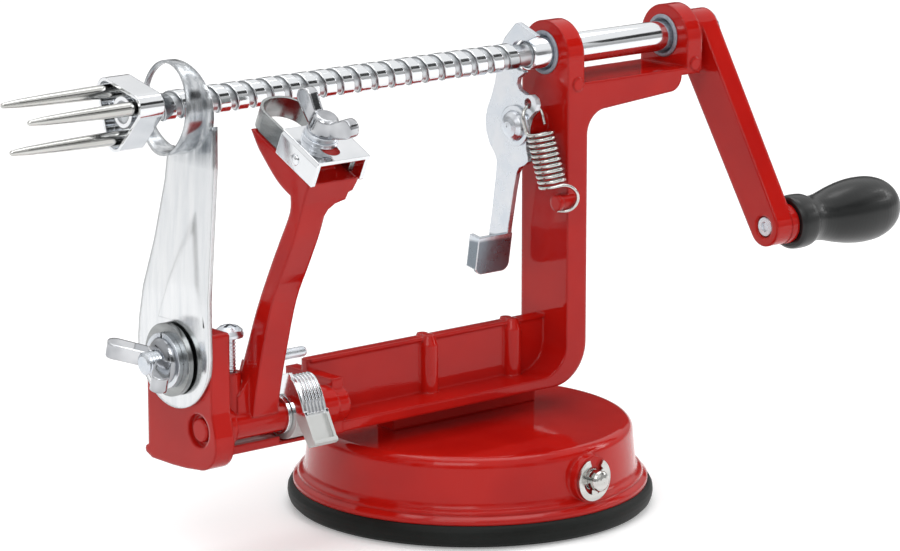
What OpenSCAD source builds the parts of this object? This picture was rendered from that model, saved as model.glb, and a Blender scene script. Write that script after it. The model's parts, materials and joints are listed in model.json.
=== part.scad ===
// Hand cranked apple peeler on a suction base, in millimetres.
// X runs along the spindle from the fork to the crank, Y away from the user, Z up.
// The origin is the centre of the pad underside, on the table.

/* [View] */
// node to show, or all

/* [Base] */
// outer radius of the rubber pad
pad_r = 52.5; // [48:0.5:58]
// height of the pad rim
pad_h = 6.5; // [5:0.5:9]
// radius of the housing at its top edge
house_r = 46.6; // [42:0.1:50]
// height of the housing top above the table
house_z = 24.3; // [22:0.1:30]
// height of the cam shaft above the table
shaft_z = 15.7; // [13:0.1:17]
// turn of the cam shaft about the vertical
shaft_turn = 3.5; // [0:0.1:15]
// throw of the crank pin on the cam shaft
shaft_throw = 2; // [1:0.1:2.5]

/* [Frame] */
// height of the underside of the rail
rail_z = 31.4; // [29:0.1:36]
// height of the upper edge of the rail web
web_z = 50.5; // [45:0.5:56]
// near face of the rail web
web_y = -0.4; // [-3:0.1:1]
// thickness of the rail web
web_t = 2.6; // [2:0.1:5]
// radius of the ribs on the rail web
rib_r = 2.8; // [1.6:0.1:3.2]
// face of the frame toward the user
near = -10.6; // [-12:0.1:-9]
// face of the frame away from the user
far = 9.4; // [8:0.1:12]
// left face of the post
post_x = 27.4; // [25:0.1:30]
// thickness of the post along the spindle
post_t = 7.3; // [6:0.1:9]
// left face of the outer lug
lug_x = 73.6; // [68:0.1:80]
// left face of the blade bracket
bracket_x = -102.8; // [-106:0.1:-98]
// thickness of the blade bracket
bracket_t = 6.2; // [5:0.1:8]

/* [Spindle] */
// height of the spindle above the table
axis_z = 127; // [122:0.5:132]
// outer radius of the thread
thread_r = 4; // [3.5:0.05:4.3]
// radius at the foot of the thread
root_r = 3.2; // [2.8:0.05:3.5]
// feed for each turn of the crank
pitch = 6; // [4:0.5:8]
// radius of the plain end of the spindle
plain_r = 4.4; // [4.2:0.05:5]
// right end of the thread
thread_x1 = 20.3; // [18:0.1:24]

/* [Fork] */
// left face of the fork hub
fork_x = -121.2; // [-126:0.1:-118]
// length of the fork hub along the spindle
hub_len = 7.7; // [6:0.1:10]
// distance of each prong from the axis
prong_at = 7.2; // [6:0.1:8]
// length of the prongs outside the hub
prong_len = 32.6; // [25:0.1:40]
// radius of a prong at its foot
prong_r = 1.9; // [1.4:0.1:2.2]

/* [Crank] */
// left face of the crank arm
crank_x = 83.5; // [81:0.1:88]
// distance from spindle to grip
crank_len = 62.8; // [50:0.1:80]
// angle of the crank in the plane of its turning
crank_turn = 237.9; // [200:0.1:280]
// largest radius of the grip
grip_r = 9.7; // [8:0.1:12]

/* [Peel arm] */
// pivot of the arm, toward the user
pivot_y = -8.9; // [-12:0.1:-6]
// height of the arm pivot
pivot_z = 39.5; // [36:0.1:44]
// left face of the arm
arm_x = -87.9; // [-90:0.1:-84]
// width of the arm along the pivot
arm_w = 8.4; // [7:0.1:10]
// slope of the blade holder
holder_tilt = 25; // [15:0.5:35]

/* [Slicer] */
// height of the slicer bolt
bolt_z = 58; // [54:0.5:62]
// outer radius of the corer ring
ring_r = 12.6; // [12.2:0.1:14]
// thickness of the slicer sheet
slicer_t = 1.4; // [1:0.1:2]

/* [Latch] */
// left face of the latch plate
latch_x = 18.6; // [17:0.1:20]
// thickness of the latch plate
latch_t = 1.6; // [1.2:0.1:2]
// turns of the latch spring
spring_turns = 10.139; // [8.139:1:11.139]
// wire of the latch spring
spring_wire = 1.05; // [0.9:0.05:1.2]

/* [Hidden] */
$fn = 64;

red = [0.78, 0.09, 0.11];
chrome = [0.80, 0.82, 0.84];
zinc = [0.72, 0.76, 0.80];
steel = [0.66, 0.68, 0.70];
black = [0.12, 0.13, 0.13];
grey = [0.55, 0.58, 0.62];

mid = (near + far) / 2;
half = (far - near) / 2;
bracket_x1 = bracket_x + bracket_t;
thread_x0 = fork_x + hub_len;
lug_t = 5.8;
latch_py = 2;
latch_pz = 106.5;
latch_mid = latch_x + latch_t / 2;
peg_y = -12.5;
peg_z = 85.8;
peg_r = 1.8;
lever_x0 = -75;
lever_x1 = -67;
screw_x = -91.8;
screw_y = -8.4;
stud_y = -14;
stud_z = 57.5;
grip_y = crank_len * cos(crank_turn);
grip_z = axis_z + crank_len * sin(crank_turn);
hold_u = -7.3;
hold_x = -81;
blade_end = 15.6;
arm_lug_x = -59.2;
foot_x = [-22, 18];
foot_y = 5.4;
hold_x0 = -88.5;
hold_x1 = -71.2;
sheet = 1.2;
ring_front = -106.2;
ring_back = -101.2;

// solid of a drawing in Y and Z, from one X to another
module along_x(x0, x1) {
  translate([x0, 0, 0]) rotate([90, 0, 90]) linear_extrude(x1 - x0) children();
}

// solid of a drawing in X and Z, from one Y to another
module along_y(y0, y1) {
  translate([0, y1, 0]) rotate([90, 0, 0]) linear_extrude(y1 - y0) children();
}

// round bar along X
module bar_x(x0, x1, r, y = 0, z = 0) {
  translate([x0, y, z]) rotate([0, 90, 0]) cylinder(h = x1 - x0, r = r);
}

// cone along X
module cone_x(x0, x1, r0, r1, y = 0, z = 0) {
  translate([x0, y, z]) rotate([0, 90, 0]) cylinder(h = x1 - x0, r1 = r0, r2 = r1);
}

// turned shape along X, drawn as radius against X
module turned_x(points, y = 0, z = 0) {
  translate([0, y, z]) rotate([0, 90, 0]) rotate_extrude() polygon(points);
}

// flat bar with round ends of two radii
module link(p, q, r0, r1) {
  d = q - p;
  n = norm(d);
  a = atan2(d[1], d[0]);
  b = acos((r0 - r1) / n);
  translate(p) circle(r0);
  translate(q) circle(r1);
  polygon([p + r0 * [cos(a + b), sin(a + b)], p + r0 * [cos(a - b), sin(a - b)],
    q + r1 * [cos(a - b), sin(a - b)], q + r1 * [cos(a + b), sin(a + b)]]);
}

// points of an arc
function arc(c, r, a0, a1, n = 8) = [for (i = [0 : n])
    c + r * [cos(a0 + (a1 - a0) * i / n), sin(a0 + (a1 - a0) * i / n)]];

// smooth curve through points, n steps to each
function curve(p, n = 4) = [for (i = [0 : len(p) - 2]) for (k = [0 : i == len(p) - 2 ? n : n - 1])
  let (a = p[max(i - 1, 0)], b = p[i], c = p[i + 1], d = p[min(i + 2, len(p) - 1)], t = k / n)
  0.5 * (2 * b + (c - a) * t + (2 * a - 5 * b + 4 * c - d) * t * t + (3 * b - a - 3 * c + d) * t * t * t)];

function unit(v) = v / norm(v);
function tangents(p) = [for (i = [0 : len(p) - 1]) unit(p[min(i + 1, len(p) - 1)] - p[max(i - 1, 0)])];
function square_to(n, t) = unit(n - (n * t) * t);
function carried(t, n0) = [
  for (i = 0, n = square_to(n0, t[0]); i < len(t); i = i + 1, n = square_to(n, t[min(i, len(t) - 1)])) n];

// least clear distance of a wire to itself
function wire_gap(p, r, skip) =
  min([for (i = [0 : len(p) - 1]) for (j = [i + skip : 1 : len(p) - 1]) norm(p[i] - p[j])]) - 2 * r;

// wire of radius r along a path
module wire(p, r, n0, sides = 6) {
  t = tangents(p);
  n = carried(t, n0);
  rings = [for (i = [0 : len(p) - 1]) for (k = [0 : sides - 1])
    p[i] + r * (cos(360 * k / sides) * n[i] + sin(360 * k / sides) * cross(t[i], n[i]))];
  last = (len(p) - 1) * sides;
  sides_of = [for (i = [0 : len(p) - 2]) for (k = [0 : sides - 1])
    let (a = i * sides + k, b = i * sides + (k + 1) % sides)
    each [[a, a + sides, b], [b, a + sides, b + sides]]];
  polyhedron(rings, concat(sides_of, [[for (k = [0 : sides - 1]) k]],
      [[for (k = [sides - 1 : -1 : 0]) last + k]]));
}

// drawing of a lug around the spindle
module lug_outline(z0) {
  translate([near, z0]) square([2 * half, axis_z - 0.7 - z0]);
  translate([mid, axis_z - 0.7]) circle(half);
}

// main casting
module frame() {
  color(red) difference() {
    union() {
      along_x(bracket_x, bracket_x1) {
        polygon([[14.2, 66.6], [-14.2, 66.6], [-14.8, 66], [-14.8, 45], [-16.4, 38.5], [-16.2, 34.5],
          [-13.4, 30.4], [-9, 28.6], [-3, 27.9], [3, 27.6], [12.6, 27.6], [15.4, 28.8], [15.7, 29.6],
          [15.4, 30.5], [14.2, 31.2]]);
        translate([pivot_y, 36.3]) circle(7.7);
      }
      along_y(near, far) difference() {
        union() {
          translate([bracket_x1 - 0.4, rail_z]) square([post_x + post_t - bracket_x1 + 0.4, 3]);
          translate([post_x, rail_z]) square([post_t, 118.8 - rail_z]);
          difference() {
            translate([post_x - 9, rail_z]) square([10, 12]);
            translate([post_x - 9, rail_z + 12]) circle(9);
          }
        }
        difference() {
          translate([post_x + post_t - 12, rail_z - 0.1]) square([12.2, 12.1]);
          translate([post_x + post_t - 12, rail_z + 12]) circle(12);
        }
      }
      along_y(web_y, web_y + web_t) translate([arm_lug_x, rail_z + 1])
        square([post_x + 1 - arm_lug_x, web_z - rail_z - 1]);
      along_y(web_y - 0.5, web_y + web_t + 0.5) translate([arm_lug_x + 1, web_z - 1])
        square([post_x - 0.5 - arm_lug_x, 1]);
      for (x = [-15.9, 15.2]) for (y = [web_y, web_y + web_t]) web_rib(x, y);
      along_x(arm_lug_x, arm_lug_x + 4) {
        translate([-11.3, rail_z]) square([far + 11.3, 15.6]);
        translate([pivot_y, pivot_z]) circle(5);
      }
      bar_x(-66.4, arm_lug_x + 0.5, 5.6, pivot_y, pivot_z);
      bar_x(arm_lug_x, arm_lug_x + 4.4, 5.1, pivot_y, pivot_z);
      along_x(post_x, post_x + 6) lug_outline(104);
      along_x(lug_x, lug_x + 5.7) lug_outline(117.4);
      translate([post_x, near, 116.8]) cube([lug_x + 5 - post_x, far - near, 2]);
      along_y(near, near + 2.6) bridge_web();
      along_y(far - 2.6, far) bridge_web();
      translate([-27, foot_y - 3.7, house_z]) cube([53, 7.4, rail_z - house_z + 0.5]);
      bar_x(latch_x + latch_t + 0.1, post_x + 0.5, 4.2, latch_py, latch_pz);
      bar_x(22.4, post_x + 0.6, peg_r, peg_y, peg_z);
      bar_x(21, 22.6, peg_r + 0.45, peg_y, peg_z);
      translate([25.4, peg_y, peg_z - 1.2]) cube([post_x - 24.9, 4.6, 2.6]);
      for (p = [[post_x + 3.6, 119], [lug_x + 3, 120]]) translate([p[0], near - 0.5, p[1] - 0.4])
          rotate([-90, 0, 0]) cylinder(h = 2, r = 1.9);
    }
    translate([post_x + 3, near + 2.6, 46]) cube([20, far - near - 5.2, 64]);
    bar_x(bracket_x - 1, bracket_x1 + 1, 3.02, 0, bolt_z);
    bar_x(bracket_x - 1, -50, 3.21, pivot_y, pivot_z);
    bar_x(bracket_x - 1, bracket_x + 1.6, 4.7, pivot_y, pivot_z);
    bar_x(-67, -64.4, 0.6, pivot_y - 0.6, pivot_z + 4.7);
    bar_x(bracket_x1 + 0.2, -76.4, 5.9, pivot_y, pivot_z);
    bar_x(-76.8, -66.5, 7.4, pivot_y, pivot_z);
    bar_x(post_x - 1, lug_x + 7, 5.65, 0, axis_z);
    bar_x(latch_x, post_x + 2.9, 2.51, latch_py, latch_pz);
    for (x = foot_x) translate([x, foot_y, house_z - 1]) cylinder(h = 7, r = 2.02);
  }
}

// half round rib on a face of the rail web
module web_rib(x, y) {
  straight = web_z - rail_z - 3.4;
  translate([x, y, rail_z + 1]) {
    cylinder(h = straight, r = rib_r);
    translate([0, 0, straight]) cylinder(h = 2.9, r1 = rib_r, r2 = 0.55 * rib_r);
  }
}

// web under the bridge between the lugs
module bridge_web() {
  x = post_x + post_t;
  difference() {
    union() {
      polygon([[post_x + 0.5, 103.6], [x + 7, 103.6], [x + 7, 110.6], [lug_x - 6.6, 112.4],
          [lug_x - 6.6, 117.4], [post_x + 0.5, 117.4]]);
      translate([lug_x - 6.6, 113]) square([4.4, 4.4]);
      intersection() {
        translate([lug_x - 6.6, 116.8]) circle(4.4);
        translate([lug_x - 6.7, 112]) square([5, 5.4]);
      }
    }
    translate([x + 7, 103.6]) circle(7);
    difference() {
      translate([lug_x - 6.6, 112]) square([5, 4.8]);
      translate([lug_x - 6.6, 116.8]) circle(4.4);
    }
  }
}

// pressed housing over the suction pad
module base_housing() {
  top = [for (p = arc([house_r - 3, house_z - 3], 3, 90, 3, 8)) p];
  color(red) difference() {
    union() {
      rotate_extrude($fn = 128) polygon(concat([[0, house_z]], top, [[47.5, 11.4], [47.9, 10.5], [48.7, 10.1],
        [49.3, 9.8], [49.5, 9.3], [49.3, 8.8], [50, 8.4], [50.9, 7.8], [51, pad_h], [46, pad_h], [44.6, 8.5],
        [44.2, house_z - 4], [42.6, house_z - 2.5], [0, house_z - 2.5]]));
      rotate([0, 0, shaft_turn]) translate([0, 0, shaft_z]) rotate([90, 0, 0]) for (s = [-1, 1])
        translate([0, 0, s > 0 ? 44 : -48.4]) cylinder(h = s > 0 ? 5.3 : 4.4, r = s > 0 ? 6.6 : 5.6);
    }
    rotate([0, 0, shaft_turn]) translate([0, 0, shaft_z]) rotate([90, 0, 0]) {
      cylinder(h = 120, r = 3.06, center = true);
      translate([0, 0, -54.6]) cylinder(h = 6, r = 5.8);
    }
    for (x = foot_x) translate([x, foot_y, house_z - 4]) cylinder(h = 6, r = 2.2);
  }
}

// rubber pad with its thick rim
module suction_pad() {
  color([0.16, 0.18, 0.18]) rotate_extrude($fn = 128) polygon([[0, 0], [49.2, 0], [50.9, 0.4],
    [51.9, 1.4], [52.3, 2.4], [pad_r, 3.6], [52.4, 4.8], [51.9, 5.8], [51.2, pad_h - 0.1], [50.6, pad_h],
    [45.2, pad_h], [43, 5.4], [40, 3], [0, 3]]);
}

// yoke that lifts the middle of the pad
module pad_stud() {
  color(steel) rotate([0, 0, shaft_turn]) difference() {
    union() {
      translate([0, 0, 3.02]) cylinder(h = 1.6, r = 18);
      translate([-8, -4, 4]) cube([16, 8, shaft_z + 3.8 - 4]);
    }
    translate([-5, -6, shaft_z - 2.6]) cube([10, 12, 5.2]);
  }
}

// cam shaft with a crank pin in the yoke
module cam_shaft() {
  color(steel) rotate([0, 0, shaft_turn]) translate([0, 0, shaft_z]) rotate([90, 0, 0]) difference() {
    union() {
      translate([0, 0, 6]) cylinder(h = 46.5, r = 3);
      translate([0, 0, 52.5]) rotate_extrude() polygon([[0, 0], [3, 0], [2.7, 0.6], [2.1, 1.05],
          [1.2, 1.35], [0, 1.45]]);
      translate([0, 0, -58]) cylinder(h = 52, r = 3);
      translate([shaft_throw, 0, -6.5]) cylinder(h = 13, r = 2);
    }
    translate([0, 0, 49.4]) difference() {
      cylinder(h = 1, r = 4);
      cylinder(h = 1, r = 2.4);
    }
  }
}

// lever on the far end of the cam shaft
module suction_lever() {
  color(chrome) rotate([0, 0, shaft_turn]) translate([0, 0, shaft_z]) rotate([90, 0, 0]) difference() {
    union() {
      translate([0, 0, -58.4]) cylinder(h = 9.6, r = 5.4);
      translate([0, 0, -57.8]) linear_extrude(4) link([0, 0], [30, 0], 5.4, 5);
      translate([0, 0, -59]) linear_extrude(6.4) link([27, 0], [40, 0], 5.4, 5.8);
    }
    translate([0, 0, -58.02]) cylinder(h = 20, r = 3.02);
    for (x = [27 : 3 : 42]) translate([x, -8, -59.6]) cube([1.2, 16, 1]);
  }
}

// retaining clip on the near end of the cam shaft
module e_clip() {
  color(chrome) rotate([0, 0, shaft_turn]) translate([0, 0, shaft_z]) rotate([90, 0, 0])
      translate([0, 0, 49.45])
    linear_extrude(0.9) {
      difference() {
        circle(6.1);
        circle(4.2);
        polygon([[0, 0], [7, 10], [-4, 12]]);
      }
      for (a = [-90, 25, 172]) rotate(a) translate([2.42, -1.1]) square([2.4, 2.2]);
    }
}

// pan head screw up through the housing
module base_screw(x) {
  color(steel) translate([x, foot_y, 0]) {
    translate([0, 0, house_z - 5.3]) cylinder(h = 2.8, r = 4);
    translate([0, 0, house_z - 2.6]) cylinder(h = 8, r = 2);
  }
}

module base_screw_left() {
  base_screw(foot_x[0]);
}

module base_screw_right() {
  base_screw(foot_x[1]);
}

// flanged bush, x is the face of its lug
module bush(x) {
  color(grey) turned_x([[plain_r + 0.9, x - 0.65], [6, x - 0.65], [6.3, x - 0.35], [6.3, x - 0.05],
      [5.6, x - 0.05],
    [5.6, x + 5.7], [plain_r + 0.05, x + 5.7], [plain_r + 0.05, x + 1.2]], 0, axis_z);
}

module left_bush() {
  bush(post_x);
}

module right_bush() {
  bush(lug_x);
}

// threaded spindle, one piece from fork to crank
module spindle_rod() {
  columns = 24;
  offs = pitch * [0, 0.07, 0.683, 0.753];
  radii = [root_r, thread_r, thread_r, root_r];
  phase = latch_mid + (pitch - offs[3]) / 2;
  x0 = phase - pitch * floor((phase - thread_x0 - 0.4) / pitch);
  turns = floor((thread_x1 - 0.2 - offs[3] - x0) / pitch);
  count = turns * columns;
  points = concat(
    [for (i = [0 : count]) for (k = [0 : 3]) let (a = 360 * i / columns)
      [x0 + pitch * i / columns + offs[k], radii[k] * cos(a), radii[k] * sin(a)]],
    [for (x = [thread_x0, thread_x1]) for (j = [0 : columns - 1])
      [x, root_r * cos(360 * j / columns), root_r * sin(360 * j / columns)]]);
  base0 = (count + 1) * 4;
  base1 = base0 + columns;
  flanks = [for (i = [0 : count - 1]) for (k = [0 : 2]) let (a = i * 4 + k, b = (i + 1) * 4 + k)
    each [[a, b, b + 1], [a, b + 1, a + 1]]];
  roots = [for (i = [0 : count - columns - 1]) let (a = i * 4 + 3, b = (i + 1) * 4 + 3,
      c = (i + columns) * 4, d = (i + columns + 1) * 4)
    each [[a, b, d], [a, d, c]]];
  e = count - columns;
  start = concat([for (j = [0 : columns - 2]) let (a = base0 + j, c = j * 4)
      each [[a, a + 1, c + 4], [a, c + 4, c]]],
    [[0, 1, 2, 3], [base0 + columns - 1, base0, 0, 3, columns * 4, columns * 4 - 4]]);
  finish = concat([for (j = [1 : columns - 1]) let (a = (e + j) * 4 + 3, c = base1 + j,
      d = base1 + (j + 1) % columns)
    each [[a, a + 4, d], [a, d, c]]], [[count * 4 + 3, count * 4 + 2, count * 4 + 1, count * 4],
    [e * 4 + 3, e * 4 + 7, base1 + 1, base1, count * 4 + 3, count * 4]]);
  caps = [[for (j = [columns - 1 : -1 : 0]) base0 + j], [for (j = [0 : columns - 1]) base1 + j]];
  color(chrome) translate([0, 0, axis_z]) union() {
    polyhedron(points, [for (f = concat(flanks, roots, start, finish, caps))
      [for (i = [len(f) - 1 : -1 : 0]) f[i]]]);
    bar_x(fork_x + 1.6, thread_x0 + 1, 3);
    bar_x(thread_x1 - 1, thread_x1 + 0.8, 3);
    difference() {
      union() {
        cone_x(thread_x1 + 0.3, thread_x1 + 0.9, plain_r - 0.5, plain_r);
        bar_x(thread_x1 + 0.8, 79.55, plain_r);
        intersection() {
          bar_x(79.5, 89, 3.6);
          translate([78, -5, -2.9]) cube([14, 10, 10]);
        }
      }
      bar_x(79, 90, 1.62);
    }
  }
}

// rounded triangle round the spindle, r at each prong
module three_lobes(r) {
  at = [for (a = [43, 163, 283]) [a, prong_at * [cos(a), sin(a)]]];
  for (p = at) translate(p[1]) circle(r);
  polygon([for (p = at) for (a = [p[0] - 60, p[0] + 60]) p[1] + r * [cos(a), sin(a)]]);
}

// three lobed cup of the fork
module fork_hub() {
  color(chrome) difference() {
    union() {
      difference() {
        along_x(fork_x, thread_x0 - 0.02) translate([0, axis_z]) three_lobes(3.8);
        along_x(fork_x - 1, thread_x0 - 2.6) translate([0, axis_z]) three_lobes(2.9);
      }
      bar_x(fork_x + 1.6, thread_x0 - 2, 4.3, 0, axis_z);
    }
    bar_x(fork_x - 1, thread_x0 + 1, 3.02, 0, axis_z);
    for (a = [43, 163, 283]) bar_x(fork_x, thread_x0 - 0.6, prong_r + 0.01, prong_at * cos(a),
        axis_z + prong_at * sin(a));
  }
}

// prong pressed in the hub at an angle round the axis
module prong(a) {
  color(chrome) turned_x([[0, fork_x - prong_len], [0.45, fork_x - prong_len],
      [0.72, fork_x - prong_len + 0.35],
    [1.15, fork_x - prong_len + 5], [1.5, fork_x - prong_len + 14], [prong_r - 0.05, fork_x - 5],
    [prong_r, fork_x - 1],
    [prong_r, thread_x0 - 0.62], [0, thread_x0 - 0.62]], prong_at * cos(a), axis_z + prong_at * sin(a));
}

module prong_far() {
  prong(43);
}

module prong_near() {
  prong(163);
}

module prong_low() {
  prong(283);
}

// cast crank arm
module crank_arm() {
  color(red) difference() {
    union() {
      along_x(crank_x, crank_x + 6.5) link([0, axis_z], [grip_y, grip_z], 6.6, 5.8);
      bar_x(79.62, crank_x + 0.5, 6.6, 0, axis_z);
      bar_x(crank_x + 6, 92.2, 6, grip_y, grip_z);
    }
    difference() {
      bar_x(79, 100, 3.62, 0, axis_z);
      translate([79, -5, axis_z - 8]) cube([12, 10, 5.08]);
    }
    bar_x(crank_x - 1, 100, 2.52, grip_y, grip_z);
    bar_x(crank_x - 1, crank_x + 1.5, 3.2, grip_y, grip_z);
  }
}

module crank_washer() {
  color(zinc) difference() {
    bar_x(crank_x + 6.5, crank_x + 7.5, 6, 0, axis_z);
    bar_x(crank_x, crank_x + 9, 1.75, 0, axis_z);
  }
}

// screw that holds the crank on the spindle
module crank_screw() {
  color(zinc) difference() {
    union() {
      bar_x(81, crank_x + 8, 1.6, 0, axis_z);
      turned_x([[0, crank_x + 7.5], [3.4, crank_x + 7.5], [3.3, crank_x + 9], [2.5, crank_x + 9.9],
          [0, crank_x + 10.2]], 0, axis_z);
    }
    for (a = [0, 90]) translate([crank_x + 8.6, 0, axis_z]) rotate([a, 0, 0]) translate([0, -1.7, -0.4])
        cube([3, 3.4, 0.8]);
  }
}

// bolt on which the grip turns
module grip_bolt() {
  color(zinc) {
    bar_x(crank_x + 0.8, 128, 2.5, grip_y, grip_z);
    difference() {
      bar_x(crank_x + 0.3, crank_x + 1.5, 2.8, grip_y, grip_z);
      translate([crank_x - 1, grip_y, grip_z]) rotate([0, 90, 0]) cylinder(h = 2, r = 1.5, $fn = 6);
    }
  }
}

// turned grip
module grip() {
  shape = curve([[6.9, 92.5], [7.75, 93.4], [8, 95.6], [7.85, 98.4], [7.1, 100.4], [6.7, 103],
      [7.1, 106.6], [8.2, 111],
    [9.1, 115.4], [9.6, 119.4], [grip_r, 123], [9.4, 127], [8.2, 131], [6.2, 134], [3.4, 135.9],
    [0, 136.6]], 3);
  color(black) turned_x(concat([[2.56, 92.5]], shape, [[0, 129], [2.56, 129]]), grip_y, grip_z);
}

// spring loaded half nut plate
module latch_plate() {
  c = [0, axis_z];
  outline = concat([[-6.7, 133.4], [-6.3, 132.9]], [[-2.8, 131.5]], arc(c, 4.4, 100, -104, 16),
    [[-1.6, 122.2], [1.2, 120.4], [1.7, 118.6], [0.8, 117.1], [-2.2, 116], [-4.6, 116.2], [-6.3, 115.3],
    [-7, 113.6], [-6.5, 111.8], [-5, 110.5], [-3.6, 109], [-2.6, 106.4], [-2.3, 103.4], [-2.5, 100.6],
    [-3.2, 98.2], [-3.2, 96.6], [-2, 95.6], [0.6, 94.4], [1.7, 92.6], [3, 87.5], [5.2, 76.8], [7, 66],
    [7.4, 64.6], [8.4, 63.2], [10.2, 62.6], [12.6, 62.9], [14, 64.6], [13.6, 73.4], [12.3, 80.1],
    [10.6, 90.7], [10.2, 95], [11.2, 97], [13.4, 99.6], [14.9, 103], [15.3, 106.8], [14.4, 110],
    [12.7, 113.6], [11, 118.4], [9.9, 124], [8.6, 128.6],
    [7, 131.2], [2.4, 135.8], [1.4, 136.2], [0.4, 135.9]]);
  color(zinc) {
    difference() {
      along_x(latch_x, latch_x + latch_t) polygon(outline);
      bar_x(0, 30, 2.56, latch_py, latch_pz);
      bar_x(0, 30, 1.5, -3.2, 113.6);
    }
    translate([latch_mid - 0.35, 3.6, axis_z - 0.7]) cube([0.7, 1.4, 1.4]);
    translate([0, 7.05, 63.3]) rotate([9.5, 0, 0]) {
      along_y(0, 1.3) {
        translate([7.7, 2.5]) square([latch_x + latch_t - 7.7, 8.8]);
        link([10.2, 2.5], [latch_x + latch_t - 2.5, 2.5], 2.5, 2.5);
      }
      translate([7.7, 0, 1.6]) cube([1.3, 4.2, 9.7]);
    }
  }
}

// shouldered rivet under the latch
module latch_rivet() {
  color(chrome) turned_x([[0, 15.2], [1.6, 15.35], [3, 15.9], [4.1, 16.8], [4.5, 17.85], [2.5, 17.85],
      [2.5, 30], [0, 30]], latch_py, latch_pz);
}

module latch_washer() {
  color(zinc) difference() {
    bar_x(17.87, 18.55, 5.9, latch_py, latch_pz);
    bar_x(17, 19, 2.52, latch_py, latch_pz);
  }
}

// tension spring from the latch ear to the peg
module latch_spring() {
  r = spring_wire / 2;
  big = 3.7;
  top = [20.6, -6.3, 105.4];
  low = [22.8, -9.5, 90.2];
  w = unit(low - top);
  e1 = square_to([-1, 0, 0], w);
  e2 = cross(e1, w);
  bend = 1.5;
  rise = 3;
  step = norm(low - top) / spring_turns;
  rings = ceil(spring_turns * 8);
  coil = [for (i = [0 : rings]) let (t = spring_turns * i / rings)
    top + w * step * t + big * (cos(360 * t) * e1 + sin(360 * t) * e2)];
  h0 = top + big * e1;
  q0 = h0 - w * (bend + rise) - e2 * bend - big * e1;
  upper = concat(
    [q0 + big * (cos(190) * e1 - sin(190) * w) + w * 2.2],
    [for (p = [190 : -19 : 0]) q0 + big * (cos(p) * e1 - sin(p) * w)],
    [for (p = [90 : -30 : 30]) h0 - w * bend + bend * (cos(p) * w - sin(p) * e2)]);
  a = 360 * spring_turns;
  front = cos(a) * e1 + sin(a) * e2;
  side = -sin(a) * e1 + cos(a) * e2;
  down = unit(0.95 * w - 0.32 * front);
  hook = 4.1;
  h1 = coil[rings] + side * 2;
  q1 = h1 + down * hook;
  lower = concat([h1], [for (p = [20 : 20 : 200]) q1 + hook * (-cos(p) * down + sin(p) * side)],
    [q1 + hook * (-cos(200) * down + sin(200) * side) + 1.2 * (sin(200) * down + cos(200) * side)]);
  path = concat(upper, coil, lower);
  echo(latch_spring_gap = wire_gap(path, r, 6), hook_low = q1 + hook * down, hook_mid = q1,
      hook_top = q0 - big * w);
  color(chrome) wire(path, r, e2);
}

// point of the holder frame, along and above its slope
function hold(u, v) = [-25 + u * cos(holder_tilt) - v * sin(holder_tilt),
    116.8 + u * sin(holder_tilt) + v * cos(holder_tilt)];

// moves children into the holder frame, with Y along the slope and Z above it
module on_holder() {
  translate([0, -25, 116.8]) rotate([holder_tilt, 0, 0]) children();
}

// cast arm with pivot barrel and blade seat
module peel_arm() {
  outer = curve([[-13.4, 41.5], [-14.8, 49], [-17.8, 60.5], [-22.2, 74.6], [-27.6, 85], [-32.4, 94.4],
      hold(-15.6, -7.2)], 4);
  inner = curve([hold(-10, -7.9), [-30.4, 100.6], [-25.8, 92], [-21.2, 83.4], [-15.6, 72], [-10.4, 59],
      [-5.8, 47.5], [-3.6, 41]], 4);
  under = curve([hold(11.6, -1.2), hold(7.7, -3.6), hold(4.7, -4.9), hold(-2.5, -7.3), hold(-7.5, -8),
      hold(-13.5, -7.9)], 4);
  color(red) difference() {
    union() {
      along_x(arm_x, arm_x + arm_w) polygon(concat(outer, inner));
      along_x(arm_x, arm_x + arm_w) polygon(concat([hold(-15.6, -0.9), hold(11.4, -0.9)], under,
          [hold(-15.6, -7)]));
      intersection() {
        along_x(arm_x, hold_x1 - 0.2) polygon(concat([for (p = outer) if (p[1] > 80) p],
            [hold(-15.6, -0.9), hold(8, -0.9), hold(4, -3.4)], [for (p = inner) if (p[1] > 80) p]));
        along_y(-60, 0) polygon([[arm_x, 84], [arm_x + arm_w, 84], [arm_x + arm_w, 99.4], [-78.7, 101.1],
          [-76.8, 102.5], [-73.6, 103.3], [-73.3, 105.3], [-72.1, 105.8], [hold_x1 - 0.2, 108.4],
          [hold_x1 - 0.2, 130], [arm_x, 130]]);
      }
      on_holder() translate([-85.9, -10.4, -2]) cube([10.2, 7.6, 7.74]);
      bar_x(bracket_x1 + 0.3, -76.5, 4.5, pivot_y, pivot_z);
      bar_x(bracket_x1 + 0.3, -93.6, 5.6, pivot_y, pivot_z);
      lever_key(0);
      translate([screw_x, screw_y, pivot_z]) cylinder(h = 14.5, r = 3);
      along_y(-12, -7.4) polygon([[screw_x, pivot_z], [arm_x + 1, pivot_z], [arm_x + 1, pivot_z + 17],
          [arm_x - 0.6, pivot_z + 12], [screw_x, pivot_z + 8]]);
    }
    bar_x(-100, -70, 3.26, pivot_y, pivot_z);
    translate([screw_x, screw_y, pivot_z + 8]) cylinder(h = 10, r = 1.78);
    bar_x(arm_x + arm_w - 3, -60, 1.46, stud_y, stud_z);
    on_holder() translate([hold_x, hold_u, -1.6]) cylinder(h = 9, r = 2.55);
  }
}

// pin through bracket, arm and lug
module arm_pin() {
  color(red) turned_x([[0, bracket_x + 0.3], [2.9, bracket_x + 0.3], [3.2, bracket_x + 0.7],
      [3.2, arm_lug_x + 4.2], [0, arm_lug_x + 4.2]], pivot_y, pivot_z);
}

module arm_washer() {
  color(chrome) difference() {
    bar_x(-76.3, -75.2, 5.4, pivot_y, pivot_z);
    bar_x(-77, -75, 4.6, pivot_y, pivot_z);
  }
}

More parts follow.
